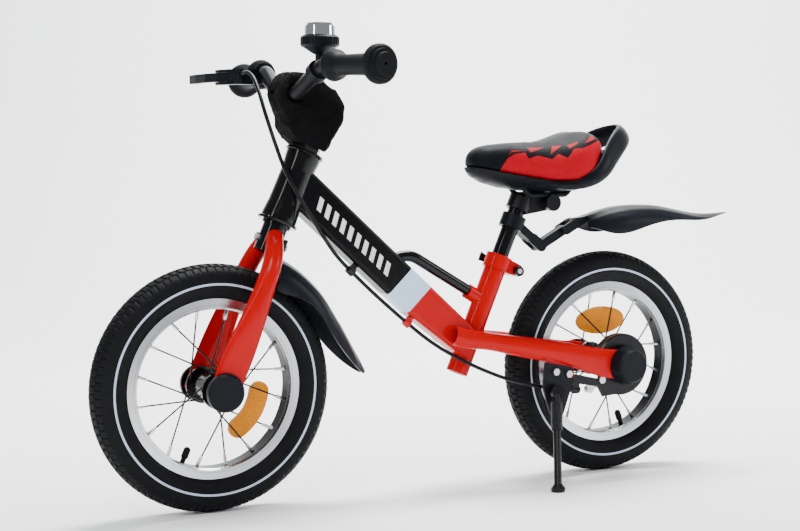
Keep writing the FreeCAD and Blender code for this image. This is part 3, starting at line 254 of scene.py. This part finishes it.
def rim_material(name, hub):
    """Turned silver flanges with a painted sheen and two fine grooves darkened by painted shade, round a black
    well.
    """
    def ridge(tree):
        side = maths(tree, "ABSOLUTE", along(tree, (0, 1, 0), hub))
        return over(tree, side, RIM_WELL_HALF, 0.0006)

    def paint(tree):
        radius = reach(tree, hub)
        inner, outer = [within(tree, radius, groove - RIM_GROOVE_HALF, groove + RIM_GROOVE_HALF)
                        for groove in RIM_GROOVES]
        grooves = maths(tree, "ADD", inner, outer)
        # A painted sheen: the flanges go darker and lighter twice round the wheel, as a reflection would
        angle = maths(tree, "ARCTAN2", along(tree, (0, 0, 1), hub), along(tree, (1, 0, 0), hub))
        painted_sheen = maths(tree, "MULTIPLY", maths(tree, "SINE", maths(tree, "MULTIPLY", angle, 2.0)), 0.5)
        painted_sheen = maths(tree, "ADD", painted_sheen, 0.5)
        flange_with_painted_light = blend_colours(tree, painted_sheen, mottled(tree, RIM_SHEEN_PAINTED_SHADE, 0.1, 80),
                               mottled(tree, RIM_SHEEN_PAINTED_HIGHLIGHT, 0.06, 80))
        # Painted shade: the two grooves are only coloured darker, the surface is not cut
        flange_with_painted_light = blend_colours(tree, grooves, flange_with_painted_light, mottled(tree, RIM_GROOVE_PAINTED_SHADE, 0.1, 80))
        return blend_colours(tree, ridge(tree), mottled(tree, RIM_WELL_BLACK, 0.2, 80), flange_with_painted_light)

    def rings(tree):
        turns = maths(tree, "MULTIPLY", reach(tree, hub), RING_FREQUENCY)
        band = link(tree, "ShaderNodeTexNoise", {"W": turns}, noise_dimensions="1D")
        return band.outputs["Fac"]

    return finish_surface(name, paint, rough=0.24, metal=ridge, wear=0.05, grain=1600, relief=rings,
                          gloss=0.06)


def black_and_metal(mask, metal_colour, spread):
    """A paint that is black where the mask is 0, and the metal's colour where it is 1."""
    def paint(tree):
        bare = mottled(tree, BLACK, 0.2, 80)
        return blend_colours(tree, mask(tree), bare, mottled(tree, metal_colour, spread, 80))
    return paint


def spoke_material(name, hub):
    """Black spokes with bright nipples at the rim."""
    def nipple(tree):
        return over(tree, reach(tree, hub), NIPPLE_START, 0.0003)
    return finish_surface(name, black_and_metal(nipple, SILVER, 0.1), rough=0.3, metal=nipple, gloss=0.15)


# The heights that a profile's grey levels from 0 to 1 stand for, in metres
PROFILE_BASE, PROFILE_SPAN = 0.38, 0.08


def height_profile(tree, length, points):
    """Height in metres that follows (x, z) millimetre points by straight lines."""
    first, last = points[0][0], points[-1][0]
    share = link(tree, "ShaderNodeMapRange",
                 {"Value": length, "From Min": first / 1000, "From Max": last / 1000})
    ramp = link(tree, "ShaderNodeValToRGB", {"Fac": share.outputs[0]})
    stops = ramp.color_ramp.elements
    while len(stops) < len(points):
        stops.new(0.5)
    for stop, (x, z) in zip(stops, points):
        stop.position = (x - first) / (last - first)
        level = (z / 1000 - PROFILE_BASE) / PROFILE_SPAN
        stop.color = (level, level, level, 1)
    above = maths(tree, "MULTIPLY", ramp.outputs["Color"], PROFILE_SPAN)
    return maths(tree, "ADD", above, PROFILE_BASE)


# Points of the red flank's upper edge and of the loose shards: x, z on the upright bike in millimetres
FLANK_EDGE = [(340, 381), (381.5, 381), (382.3, 407), (386.3, 414), (392.2, 422), (403, 428), (418.6, 430),
              (419.6, 425.6), (422.3, 422), (428.7, 425), (434.5, 426), (450, 421.5), (459.5, 428.5),
              (468.5, 423), (480, 435), (491, 436), (498.6, 438.5), (509.5, 442.5), (525.8, 446),
              (550, 441)]
SHARD_TOP = [(392, 424), (401, 432.6), (421.2, 432.4), (424.8, 436), (446.5, 436.7), (449.6, 427.4),
             (456.3, 438), (468.2, 439.4), (476, 440.2), (489, 444), (495.4, 442), (512.2, 452),
             (515.5, 452.8), (517, 446), (550, 440)]
SHARD_FOOT = [(392, 424.2), (400, 430.6), (412.4, 432), (421.2, 432.5), (424.6, 436.1), (425.4, 430),
              (446.5, 436.8), (449.6, 427.5), (467.9, 439.2), (474, 440.1), (474.6, 435), (487.7, 442),
              (489, 444.1), (495.4, 442.1), (504, 444.3), (513.8, 447.3), (517, 447), (550, 441)]

# Half width of the saddle's middle that stays black, in metres
BLACK_CREST = 0.010
SADDLE_BLACK, SADDLE_RED = (0.004, 0.005, 0.007), (0.40, 0.0, 0.010)


def saddle_paint(tree):
    """Black top over red flanks, with a jagged border and loose shards between them."""
    centre = at(0, 0, 0)
    length = along(tree, (1, 0, 0), centre)
    height = along(tree, (0, 0, 1), centre)
    side = maths(tree, "ABSOLUTE", along(tree, (0, 1, 0), centre))

    def below(points):
        return over(tree, maths(tree, "SUBTRACT", height_profile(tree, length, points), height), 0.0)

    shards = both(tree, below(SHARD_TOP), inverse(tree, below(SHARD_FOOT)))
    red = both(tree, maths(tree, "MAXIMUM", below(FLANK_EDGE), shards), over(tree, side, BLACK_CREST))
    return blend_colours(tree, red, mottled(tree, SADDLE_BLACK, 0.3, 90),
                         mottled(tree, SADDLE_RED, 0.12, 90))


# Waves per 2 pi metres and heights of the pad's threads and the mudguards' ribs, and cells per metre
THREAD_FREQUENCY, THREAD_HEIGHT = 5200.0, 0.35
RIB_FREQUENCY, RIB_HEIGHT = 620.0, 1.6
LEATHER_CELLS, LENS_CELLS = 750.0, 330.0


def weave(tree):
    """Fine crossed threads."""
    threads = []
    for way in ((1, 0, 0.3), (0, 1, 0.3), (-0.3, 0.2, 1)):
        run = maths(tree, "MULTIPLY", along(tree, way, FRONT_HUB), THREAD_FREQUENCY)
        threads.append(maths(tree, "SINE", run))
    crossed = maths(tree, "ADD", maths(tree, "ADD", threads[0], threads[1]), threads[2])
    return maths(tree, "MULTIPLY", crossed, THREAD_HEIGHT)


def cells(scale):
    """A relief of small rounded cells, as on leather or a reflector's lens."""
    def relief(tree):
        found = link(tree, "ShaderNodeTexVoronoi", {"Vector": place(tree), "Scale": scale})
        return found.outputs["Distance"]
    return relief


def ribs(tree):
    """Shallow moulded ribs along a mudguard."""
    run = maths(tree, "MULTIPLY", along(tree, (0, 1, 0), FRONT_HUB), RIB_FREQUENCY)
    return maths(tree, "MULTIPLY", maths(tree, "SINE", run), RIB_HEIGHT)


# Distances in metres: up the steering axis, rearward between the two clips, and round a bolt's end
BOLT_TOP = 0.25
CLIP_MIDDLE = 0.22
BOLT_CENTRE_RADIUS = 0.0034


def fastener_material():
    """The locknut is black and the crown bolt below it is zinc."""
    def bolt(tree):
        return inverse(tree, over(tree, along(tree, STEER_UP, FRONT_HUB), BOLT_TOP))
    return finish_surface("steering_fastener_metal", black_and_metal(bolt, ZINC, 0.12), rough=0.3,
                          metal=bolt, wear=0.08)


def bolt_material(name, node):
    """A black bolt whose outer end shows a bright centre."""
    corners = [Vector(corner) for corner in NODES[node].bound_box]
    middle_point = sum(corners, Vector()) / 8
    half_length = max(abs((corner - middle_point).dot(ACROSS)) for corner in corners)
    end = middle_point - ACROSS * half_length

    def bright(tree):
        return inverse(tree, over(tree, reach(tree, end), BOLT_CENTRE_RADIUS))
    return finish_surface(name, black_and_metal(bright, ZINC, 0.1), rough=0.3, metal=bright, gloss=0.2)


def clip_material():
    """The front cable clip is black and the rear one is red."""
    def rear(tree):
        return over(tree, along(tree, (1, 0, 0), at(0, 0, 0)), CLIP_MIDDLE)
    return finish_surface("cable_clip_paint", black_and_metal(rear, RED, 0.1), rough=0.3, gloss=0.25)


MATERIALS = {
    "black_gloss": plain("black_gloss_paint", BLACK, rough=0.14, coat=0.2, gloss=0.12, wear=0.04,
                         bump=0.02),
    "red_paint": plain("red_gloss_paint", RED, rough=0.2, spread=0.07, coat=0.09, gloss=0.06, wear=0.05,
                       bump=0.02),
    "frame_paint": finish_surface("down_tube_paint", down_tube_paint, rough=0.2, coat=0.09, gloss=0.06,
                                  wear=0.05, bump=0.02),
    "steel": plain("zinc_steel", ZINC, rough=0.32, metal=1.0, wear=0.08),
    "chrome": plain("polished_chrome", (0.82, 0.83, 0.85), rough=0.08, spread=0.04, metal=1.0, wear=0.03,
                    bump=0.01),
    "black_steel": plain("satin_black_steel", SATIN_BLACK, rough=0.32, gloss=0.2, wear=0.08),
    "black_plastic": plain("charcoal_plastic", CHARCOAL, rough=0.4, gloss=0.12, wear=0.08, grain=1500,
                           bump=0.12),
    "rubber": plain("black_rubber", BLACK, rough=0.55, gloss=0.1, wear=0.1, grain=1300, bump=0.15),
    "tyre": plain("tyre_rubber", (0.003, 0.0032, 0.0042), rough=0.6, gloss=0.12, wear=0.1, grain=1100,
                  bump=0.2),
    "amber": plain("amber_reflector", (0.70, 0.22, 0.0), rough=0.25, coat=0.05, gloss=0.1, bump=0.9,
                   relief=cells(LENS_CELLS)),
    "cable_skin": plain("cable_housing", (0.005, 0.005, 0.006), rough=0.3, gloss=0.15, wear=0.08),
    "pad_skin": plain("pad_fabric", (0.0025, 0.0025, 0.003), rough=0.85, spread=0.35, scale=120,
                      gloss=0.08, wear=0.08, bump=0.5, relief=weave),
    "saddle_skin": finish_surface("saddle_leather", saddle_paint, rough=0.5, gloss=0.06, wear=0.08,
                                  grain=1400, bump=0.16, relief=cells(LEATHER_CELLS)),
    "white_line": plain("white_sidewall_line", (0.46, 0.52, 0.64), rough=0.5, spread=0.06, wear=0.1,
                        bump=0.08),
    "ribbed_plastic": plain("ribbed_mudguard", (0.005, 0.0065, 0.010), rough=0.36, spread=0.2, scale=70,
                            gloss=0.14, wear=0.07, grain=1300, bump=0.14, relief=ribs),
    "grip_rubber": plain("grip_rubber", (0.006, 0.0065, 0.008), rough=0.55, gloss=0.08, wear=0.08,
                         grain=1500, bump=0.12),
    "satin_bar": plain("satin_black_bar", SATIN_BLACK, rough=0.34, gloss=0.12, bump=0.03),
}
# Each node's material slot in the record
SLOT_OF = {entry["node"]: entry["material_slot"] for entry in frame["record"]["subparts"]}
# Nodes whose look isn't simply that of their slot
SPECIAL = {
    "front_rim": rim_material("front_rim_metal", FRONT_HUB),
    "rear_rim": rim_material("rear_rim_metal", REAR_HUB),
    "front_spokes": spoke_material("front_spoke_metal", FRONT_HUB),
    "rear_spokes": spoke_material("rear_spoke_metal", REAR_HUB),
    "front_mudguard": MATERIALS["ribbed_plastic"],
    "rear_mudguard": MATERIALS["ribbed_plastic"],
    "handlebar_grips": MATERIALS["grip_rubber"],
    "handlebar": MATERIALS["satin_bar"],
    "steering_fasteners": fastener_material(),
    "cable_clips": clip_material(),
    "seat_clamp": MATERIALS["red_paint"],
    "seat_clamp_bolt": bolt_material("seat_clamp_bolt_metal", "seat_clamp_bolt"),
}


def dress(obj, material):
    """Give the object this one material."""
    obj.data.materials.clear()
    obj.data.materials.append(material)


for name, obj in NODES.items():
    dress(obj, SPECIAL.get(name) or MATERIALS[SLOT_OF[name]])


# Pieces that take the place of plain CAD ones

def new_mesh(name, points, faces, smooth=True):
    """A new object in the scene from points in metres and faces."""
    mesh = bpy.data.meshes.new(name)
    mesh.from_pydata([tuple(point) for point in points], [], faces)
    mesh.validate()
    obj = bpy.data.objects.new(name, mesh)
    bpy.context.scene.collection.objects.link(obj)
    for polygon in mesh.polygons:
        polygon.use_smooth = smooth
    return obj


def stand_for(obj, node, material):
    """The piece takes the CAD node's place and moves with its body."""
    if material:
        dress(obj, material)
    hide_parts(node)
    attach(obj, BODY_OF[node])
    return obj


# A tyre's wall from its bead to its tread: half width and radius in metres
WALL = [(0.0113, 0.1040), (0.0113, 0.1083), (0.0143, 0.1103), (0.0182, 0.1142), (0.0212, 0.1192),
        (0.0222, 0.1238), (0.0221, 0.1242), (0.0222, 0.1268), (0.0222, 0.1272), (0.0221, 0.1312),
        (0.0208, 0.1362)]
WHITE_LINE_SPOT = 6
TREAD_HALF, TREAD_RISE = 0.019, 0.008
TREAD_STEPS = 40
TREAD_BLOCKS = 96
STEPS_PER_BLOCK = 7
GROOVE_DEPTH = 0.0016
# Shares of the tread's half width where its zones and the grooves that part them lie
CROWN_EDGE, CROWN_GROOVE = 0.22, 0.17
SHOULDER_GROOVE, SHOULDER_EDGE = 0.62, 0.68
# Shares of one block's length: its cross groove, the shoulders' stagger and the middle's slant and shift
CROWN_SLOT, MIDDLE_SLOT, SHOULDER_SLOT = 0.1, 0.24, 0.26
SHOULDER_STAGGER, MIDDLE_SLANT, MIDDLE_SHIFT = 0.5, 0.6, 0.25


def bead_section():
    """Half widths and radii round a tyre, from one bead over the tread to the other."""
    crown = []
    arc = (TREAD_HALF ** 2 + TREAD_RISE ** 2) / (2 * TREAD_RISE)
    for step in range(TREAD_STEPS + 1):
        half = TREAD_HALF - 2 * TREAD_HALF * step / TREAD_STEPS
        crown.append((half, HUB_HEIGHT - arc + math.sqrt(arc * arc - half * half)))
    section = [(half, radius, False) for half, radius in WALL]
    section += [(half, radius, True) for half, radius in crown]
    section += [(-half, radius, False) for half, radius in reversed(WALL)]
    return section


def groove_depth(half, turn):
    """How deep the tread is cut at a place: blocks at the shoulders, bars on the crown."""
    blocks_past = turn * TREAD_BLOCKS / math.tau
    share = abs(half) / TREAD_HALF
    if share > SHOULDER_GROOVE:
        staggered = blocks_past + SHOULDER_STAGGER * (half > 0)
        grooved = share < SHOULDER_EDGE or staggered % 1.0 < SHOULDER_SLOT
    elif share > CROWN_EDGE:
        grooved = (blocks_past + MIDDLE_SLANT * share + MIDDLE_SHIFT) % 1.0 < MIDDLE_SLOT
    else:
        grooved = share > CROWN_GROOVE or (blocks_past / 2) % 1.0 < CROWN_SLOT
    return GROOVE_DEPTH if grooved else 0.0


def tyre_mesh(name, hub):
    """A tyre with its cut tread, and a white line round each wall."""
    steps = TREAD_BLOCKS * STEPS_PER_BLOCK
    section = bead_section()
    points, faces = [], []
    for index in range(steps):
        turn = math.tau * index / steps
        outward = BACKWARD * math.cos(turn) + UPWARD * math.sin(turn)
        for half, radius, tread in section:
            depth = groove_depth(half, turn) if tread else 0.0
            points.append(hub + outward * (radius - depth) + ACROSS * half)
    count = len(section)
    for index in range(steps):
        here, after = index * count, (index + 1) % steps * count
        for spot in range(count):
            beyond = (spot + 1) % count
            faces.append((here + spot, here + beyond, after + beyond, after + spot))
    obj = new_mesh(name, points, faces, smooth=False)
    obj.data.materials.append(MATERIALS["tyre"])
    obj.data.materials.append(MATERIALS["white_line"])
    for number, polygon in enumerate(obj.data.polygons):
        spot = number % count
        from_bead = min(spot, count - 2 - spot)
        polygon.use_smooth = from_bead < len(WALL)
        polygon.material_index = int(from_bead == WHITE_LINE_SPOT)
    return obj


for wheel, hub in (("front", FRONT_HUB), ("rear", REAR_HUB)):
    stand_for(tyre_mesh(f"{wheel}_tyre_tread", hub), f"{wheel}_tyre", None)


# The saddle cover's stations on the upright bike in millimetres: x, half width, edge height, top height
SADDLE = [(351, 8, 412, 423), (356, 17, 411, 431), (369, 26, 408, 438), (395, 31, 403, 441.5),
          (425, 38, 397.5, 442), (455, 51, 393, 444), (480, 61, 394, 450), (501, 61, 403, 457.5),
          (517, 53, 416, 458.5), (532, 38, 430, 452), (546, 17, 435, 442)]


def between(stations, share):
    """Smoothly interpolated station values, share from 0 to 1, by a Catmull-Rom curve."""
    last = len(stations) - 1
    spot = share * last
    index = min(int(spot), last - 1)
    part = spot - index
    around = [stations[max(0, min(last, index + offset))] for offset in (-1, 0, 1, 2)]
    values = []
    for a, b, c, d in zip(*around):
        values.append(0.5 * (2 * b + (c - a) * part + (2 * a - 5 * b + 4 * c - d) * part ** 2
                             + (3 * b - a - 3 * c + d) * part ** 3))
    return values


# How square the saddle's section is across and upward, and its channel in millimetres
ACROSS_POWER, UPWARD_POWER = 0.72, 0.62
CHANNEL_DEPTH, CHANNEL_WIDTH = 1.6, 9
CHANNEL_START, CHANNEL_RUN = 380, 60


def saddle_mesh():
    """A closed crowned form over the stations, with a shallow channel along its middle."""
    rows, columns = 72, 48
    width = columns + 1
    points, faces = [], []
    for row in range(rows + 1):
        x, half, low, top = between(SADDLE, row / rows)
        for column in range(columns + 1):
            angle = math.pi * column / columns
            across = math.copysign(abs(math.cos(angle)) ** ACROSS_POWER, math.cos(angle)) * half
            rise = math.sin(angle) ** UPWARD_POWER
            begun = min(1.0, max(0.0, (x - CHANNEL_START) / CHANNEL_RUN))
            dip = CHANNEL_DEPTH * math.exp(-(across / CHANNEL_WIDTH) ** 2) * begun
            points.append(at(x, -across, low + (top - low) * rise - dip))
    for row in range(rows):
        here, after = row * width, (row + 1) * width
        for column in range(width):
            beyond = (column + 1) % width
            faces.append((here + column, after + column, after + beyond, here + beyond))
    faces.append(tuple(reversed(range(width))))
    faces.append(tuple(range(rows * width, (rows + 1) * width)))
    return new_mesh("saddle_padding", points, faces)


def baked_mesh(obj):
    """The mesh with its modifiers applied, and none left on the object."""
    graph = bpy.context.evaluated_depsgraph_get()
    mesh = bpy.data.meshes.new_from_object(obj.evaluated_get(graph))
    obj.modifiers.clear()
    obj.data = mesh
    for polygon in mesh.polygons:
        polygon.use_smooth = True
    return mesh


CLOTH_PRESSURE, CLOTH_MASS = 4.0, 0.2
CLOTH_FRAMES = 20


def blown_up(obj, voxel, cap, held):
    """Remesh a soft piece and swell it as pressurised cloth; held says which points stay.

    No point moves further than cap.
    """
    remesh = obj.modifiers.new("remesh", "REMESH")
    remesh.mode = "VOXEL"
    remesh.voxel_size = voxel
    soften = obj.modifiers.new("soften", "SMOOTH")
    soften.factor = 0.5
    soften.iterations = 4
    mesh = baked_mesh(obj)
    rest = [vertex.co.copy() for vertex in mesh.vertices]
    group = obj.vertex_groups.new(name="held")
    group.add([vertex.index for vertex in mesh.vertices if held(vertex.co)], 1.0, "REPLACE")
    cloth = obj.modifiers.new("cloth", "CLOTH")
    cloth.settings.quality = 4
    cloth.settings.mass = CLOTH_MASS
    cloth.settings.use_pressure = True
    cloth.settings.uniform_pressure_force = CLOTH_PRESSURE
    cloth.settings.vertex_group_mass = "held"
    cloth.settings.effector_weights.gravity = 0.0
    cloth.collision_settings.use_collision = False
    for step in range(1, CLOTH_FRAMES + 1):
        bpy.context.scene.frame_set(step)
    mesh = baked_mesh(obj)
    bpy.context.scene.frame_set(1)
    for vertex, start in zip(mesh.vertices, rest):
        moved = vertex.co - start
        if moved.length > cap:
            vertex.co = start + moved.normalized() * cap
    obj.vertex_groups.clear()
    finer = obj.modifiers.new("finer", "SUBSURF")
    finer.levels = 1
    return baked_mesh(obj)


STAPLED_HEIGHT = 7  # millimetres above the saddle's lower edge


def saddle_edge(point):
    """Points of the saddle's underside and lower edge, which are stapled to its base."""
    local = BIKE.inverted() @ point * 1000
    passed = [station for station in SADDLE if station[0] <= local.x] or [SADDLE[0]]
    edge_height = passed[-1][2]
    return local.z < edge_height + STAPLED_HEIGHT


saddle = saddle_mesh()
blown_up(saddle, voxel=0.0035, cap=0.003, held=saddle_edge)
stand_for(saddle, "saddle_cover", MATERIALS["saddle_skin"])


# The pad's tunnels in millimetres: their radii, and the place and half length of the crossing one
STEM_TUNNEL, BAR_TUNNEL = 20, 19
BAR_X, BAR_Z, BAR_TUNNEL_HALF = 100, 500, 20


def near_bars(point):
    """Points of the pad's tunnels, which stay round the stem and the bar."""
    local = BIKE.inverted() @ point * 1000
    from_stem = (local - Vector((0, 0, HUB_HEIGHT * 1000))).cross(STEER_UP).length
    from_bar = Vector((local.x - BAR_X, 0, local.z - BAR_Z)).length
    return from_stem < STEM_TUNNEL or from_bar < BAR_TUNNEL and abs(local.y) < BAR_TUNNEL_HALF


# Heights in metres and noise frequencies of the pad's folds and creases, and how far it draws in
FOLD_HEIGHT, FOLD_FREQUENCY = 0.0012, 38
CREASE_HEIGHT, CREASE_FREQUENCY = 0.0012, 62
DRAWN_IN = 0.0010


def soft_pad():
    """The bar pad: its block swollen into a soft, creased cover."""
    obj = bpy.data.objects.new("bar_pad_cover", NODES["handlebar_pad"].data.copy())
    bpy.context.scene.collection.objects.link(obj)
    mesh = blown_up(obj, voxel=0.0032, cap=0.004, held=near_bars)
    for vertex in mesh.vertices:
        fold = noise.fractal(vertex.co * FOLD_FREQUENCY, 0.7, 2.2, 3)
        crease = 1 - abs(noise.noise(vertex.co * CREASE_FREQUENCY + Vector((3, 5, 7))))
        vertex.co += vertex.normal * (FOLD_HEIGHT * fold + CREASE_HEIGHT * crease ** 6 - DRAWN_IN)
    return obj


pad = stand_for(soft_pad(), "handlebar_pad", MATERIALS["pad_skin"])


LONGEST_CABLE_EDGE = 0.008


def bending_cable():
    """The brake cable's housing, its long edges cut finely."""
    obj = bpy.data.objects.new("brake_cable_housing", NODES["brake_cable"].data.copy())
    bpy.context.scene.collection.objects.link(obj)
    shape = bmesh.new()
    shape.from_mesh(obj.data)
    bmesh.ops.remove_doubles(shape, verts=shape.verts, dist=1e-6)
    long_edges = [edge for edge in shape.edges if edge.calc_length() > LONGEST_CABLE_EDGE]
    bmesh.ops.subdivide_edges(shape, edges=long_edges, cuts=5)
    shape.to_mesh(obj.data)
    shape.free()
    return obj


cable = bending_cable()
dress(cable, MATERIALS["cable_skin"])
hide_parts("brake_cable")
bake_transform(cable)


# Studio

# The backdrop's flat length behind the bike, its bend's radius, wall height and half width in metres
FLOOR_BACK, FLOOR_BEND, WALL_HEIGHT, FLOOR_HALF = 2.6, 1.2, 7.0, 9.0
BEND_STEPS = 12


def backdrop():
    """A pale floor that curves up into a wall behind the bike."""
    floor = cad_low.z
    profile = [(-FLOOR_HALF, floor)]
    for step in range(BEND_STEPS + 1):
        angle = math.pi / 2 * step / BEND_STEPS
        profile.append((FLOOR_BACK + FLOOR_BEND * math.sin(angle),
                        floor + FLOOR_BEND * (1 - math.cos(angle))))
    profile.append((FLOOR_BACK + FLOOR_BEND, floor + WALL_HEIGHT))
    points = [(side, y, z) for y, z in profile for side in (-FLOOR_HALF, FLOOR_HALF)]
    faces = [(2 * step, 2 * step + 1, 2 * step + 3, 2 * step + 2) for step in range(len(profile) - 1)]
    obj = new_mesh("studio_backdrop", points, faces)
    obj.rotation_euler.z = math.radians(-27)
    dress(obj, plain("studio_paper", (0.9, 0.91, 0.92), 0.8, spread=0.015, scale=2.0, bump=0.02))
    return obj


def lamp(name, place_at, look_at, size, power):
    """An oval area lamp; size gives its two widths in metres and power is in watts."""
    data = bpy.data.lights.new(name, "AREA")
    data.shape = "ELLIPSE"
    data.size, data.size_y = size
    data.energy = power
    obj = bpy.data.objects.new(name, data)
    obj.location = place_at
    obj.rotation_euler = (look_at - place_at).to_track_quat("-Z", "Y").to_euler()
    bpy.context.scene.collection.objects.link(obj)
    return obj


# What the lamps point at: the bike's middle, and a spot on the wall
middle = (cad_low + cad_high) / 2
wall = middle + Vector((1.6, 3.0, 0.6))
lamps = [
    lamp("key_light", middle + Vector((-1.3, -1.9, 2.3)), middle, size=(1.2, 1.2), power=54),
    lamp("strip_light", middle + Vector((-2.1, -0.9, 0.9)), middle, size=(0.16, 1.8), power=15),
    lamp("top_light", middle + Vector((0.3, 0.4, 2.6)), middle, size=(1.6, 1.6), power=48),
    lamp("side_light", middle + Vector((2.4, -1.5, 0.9)), middle, size=(1.0, 1.0), power=22),
    lamp("wall_light", middle + Vector((1.0, 0.9, 3.4)), wall, size=(2.4, 2.4), power=560),
]
backdrop()

world = bpy.data.worlds.new("studio_air")
world.use_nodes = True
sky = world.node_tree.nodes["Background"]
sky.inputs["Color"].default_value = (0.95, 0.97, 1.0, 1)
sky.inputs["Strength"].default_value = 0.30
bpy.context.scene.world = world

# The photograph's camera on the upright bike, solved from the two wheels: place in metres, turn and rise
CAMERA_PLACE = Vector((-0.6257, -1.7196, 0.4208))
CAMERA_TURN, CAMERA_RISE = math.radians(-27.06), math.radians(3.95)
camera_data = bpy.data.cameras.new("camera")
camera_data.sensor_width = 36
camera_data.lens = 68.94
camera = bpy.data.objects.new("camera", camera_data)
bpy.context.scene.collection.objects.link(camera)
toward = Vector((math.sin(CAMERA_TURN) * math.cos(CAMERA_RISE),
                 -math.cos(CAMERA_TURN) * math.cos(CAMERA_RISE), math.sin(CAMERA_RISE)))
right = Vector((math.cos(CAMERA_TURN), math.sin(CAMERA_TURN), 0))
pose = Matrix((right, toward.cross(right), toward)).transposed().to_4x4()
pose.translation = CAMERA_PLACE
camera.matrix_world = BIKE @ pose
bpy.context.scene.camera = camera
